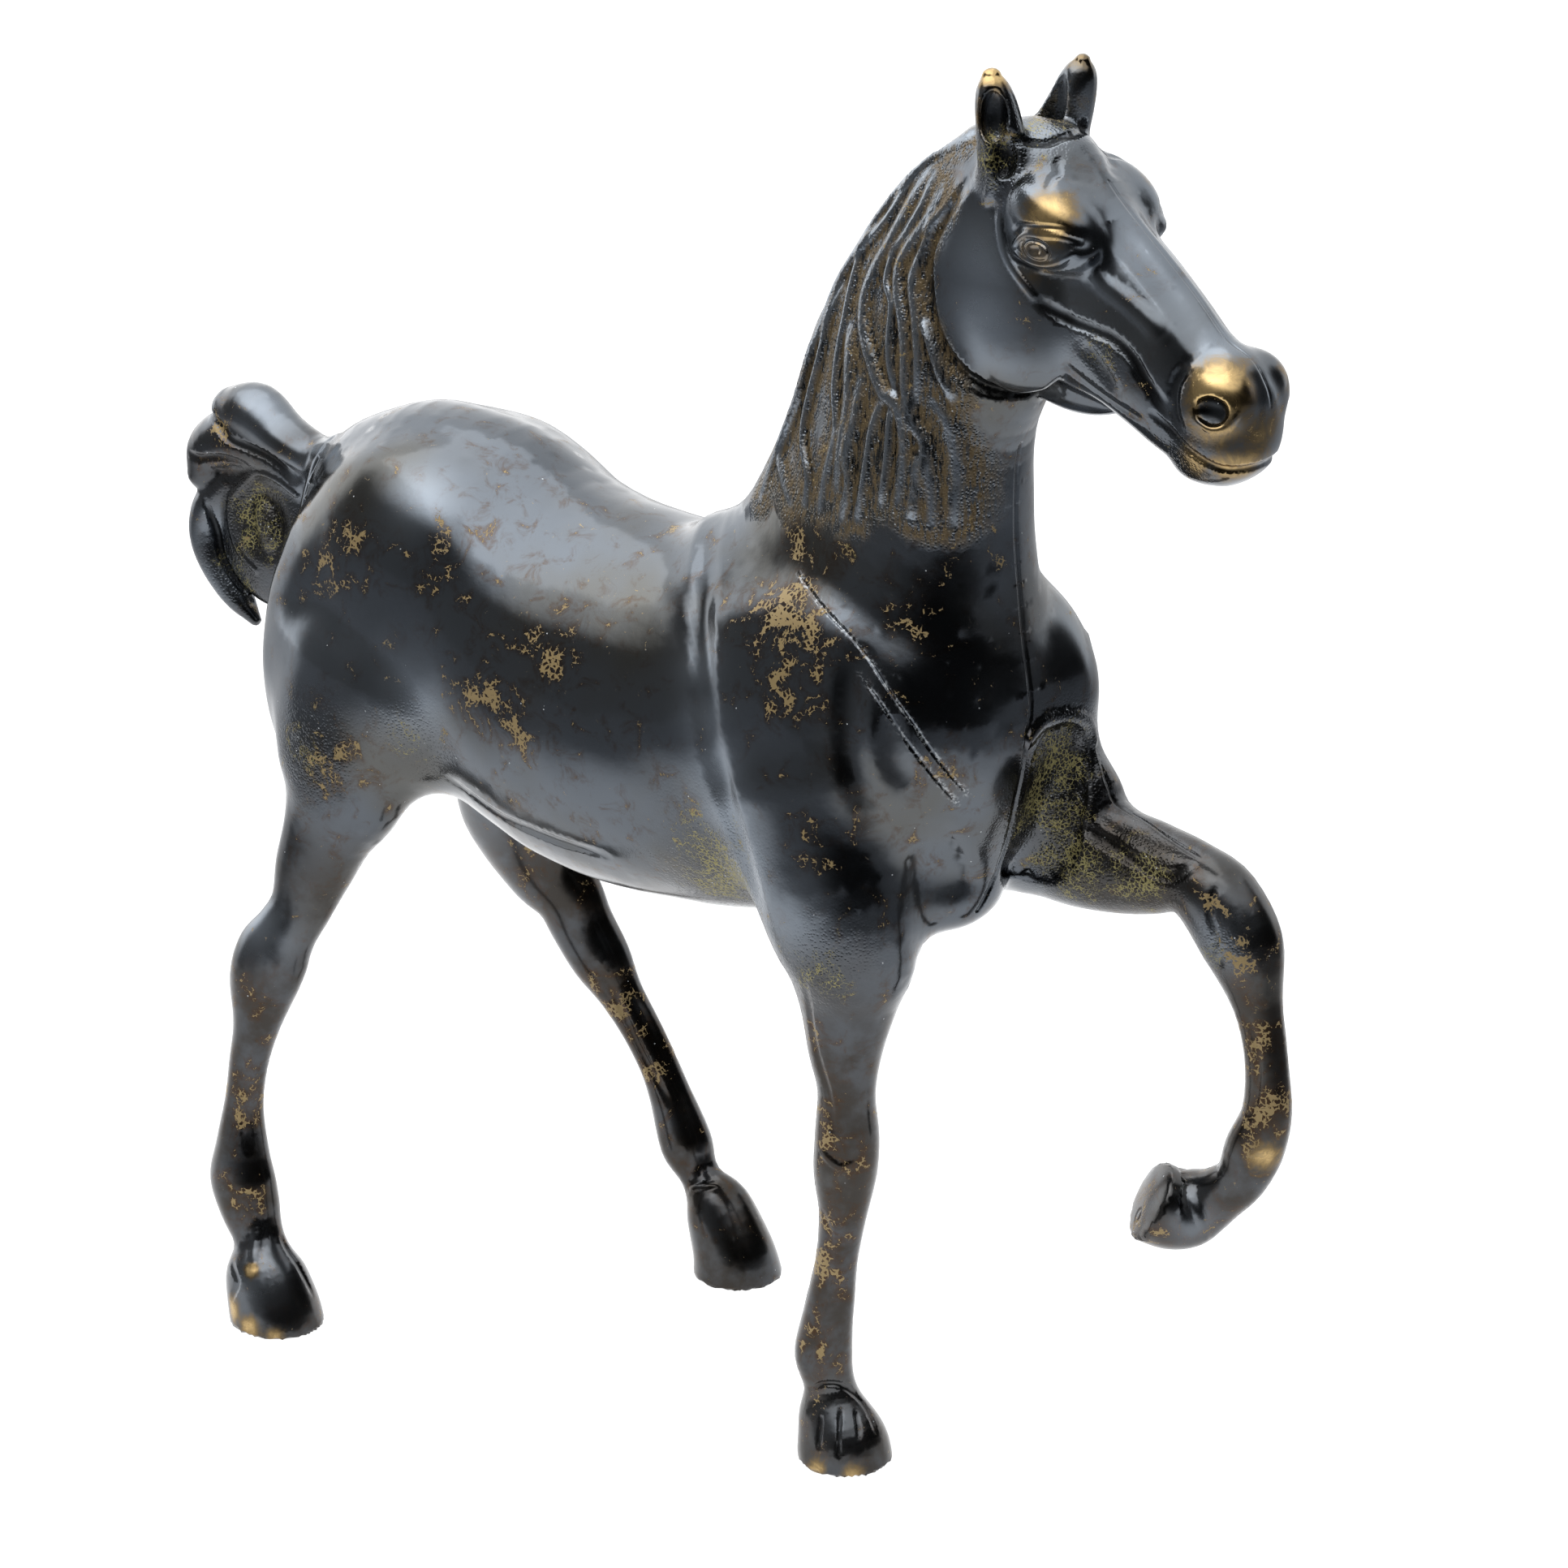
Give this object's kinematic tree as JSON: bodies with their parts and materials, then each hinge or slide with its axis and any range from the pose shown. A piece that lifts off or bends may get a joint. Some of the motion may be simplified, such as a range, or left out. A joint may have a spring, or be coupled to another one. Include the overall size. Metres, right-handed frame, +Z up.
{
  "type": "bronze horse sculpture",
  "caption": "Cast bronze figure of a horse stepping with one foreleg raised, mane combed to one side, tail curled up over the rump; stands on its flat hooves.",
  "frame": {"origin": "centre of the figure's bounding box, on the surface it stands on", "axes": "+X the way the horse faces, +Y its left side, +Z up"},
  "size_m": [0.2668, 0.0958, 0.2856],
  "materials": {
    "bronze": "dark blue-black patina over golden bronze, waxed and rubbed bright on the high points"
  },
  "bodies": {
    "root": {"bronze_horse": "bronze"}
  },
  "joints": []
}
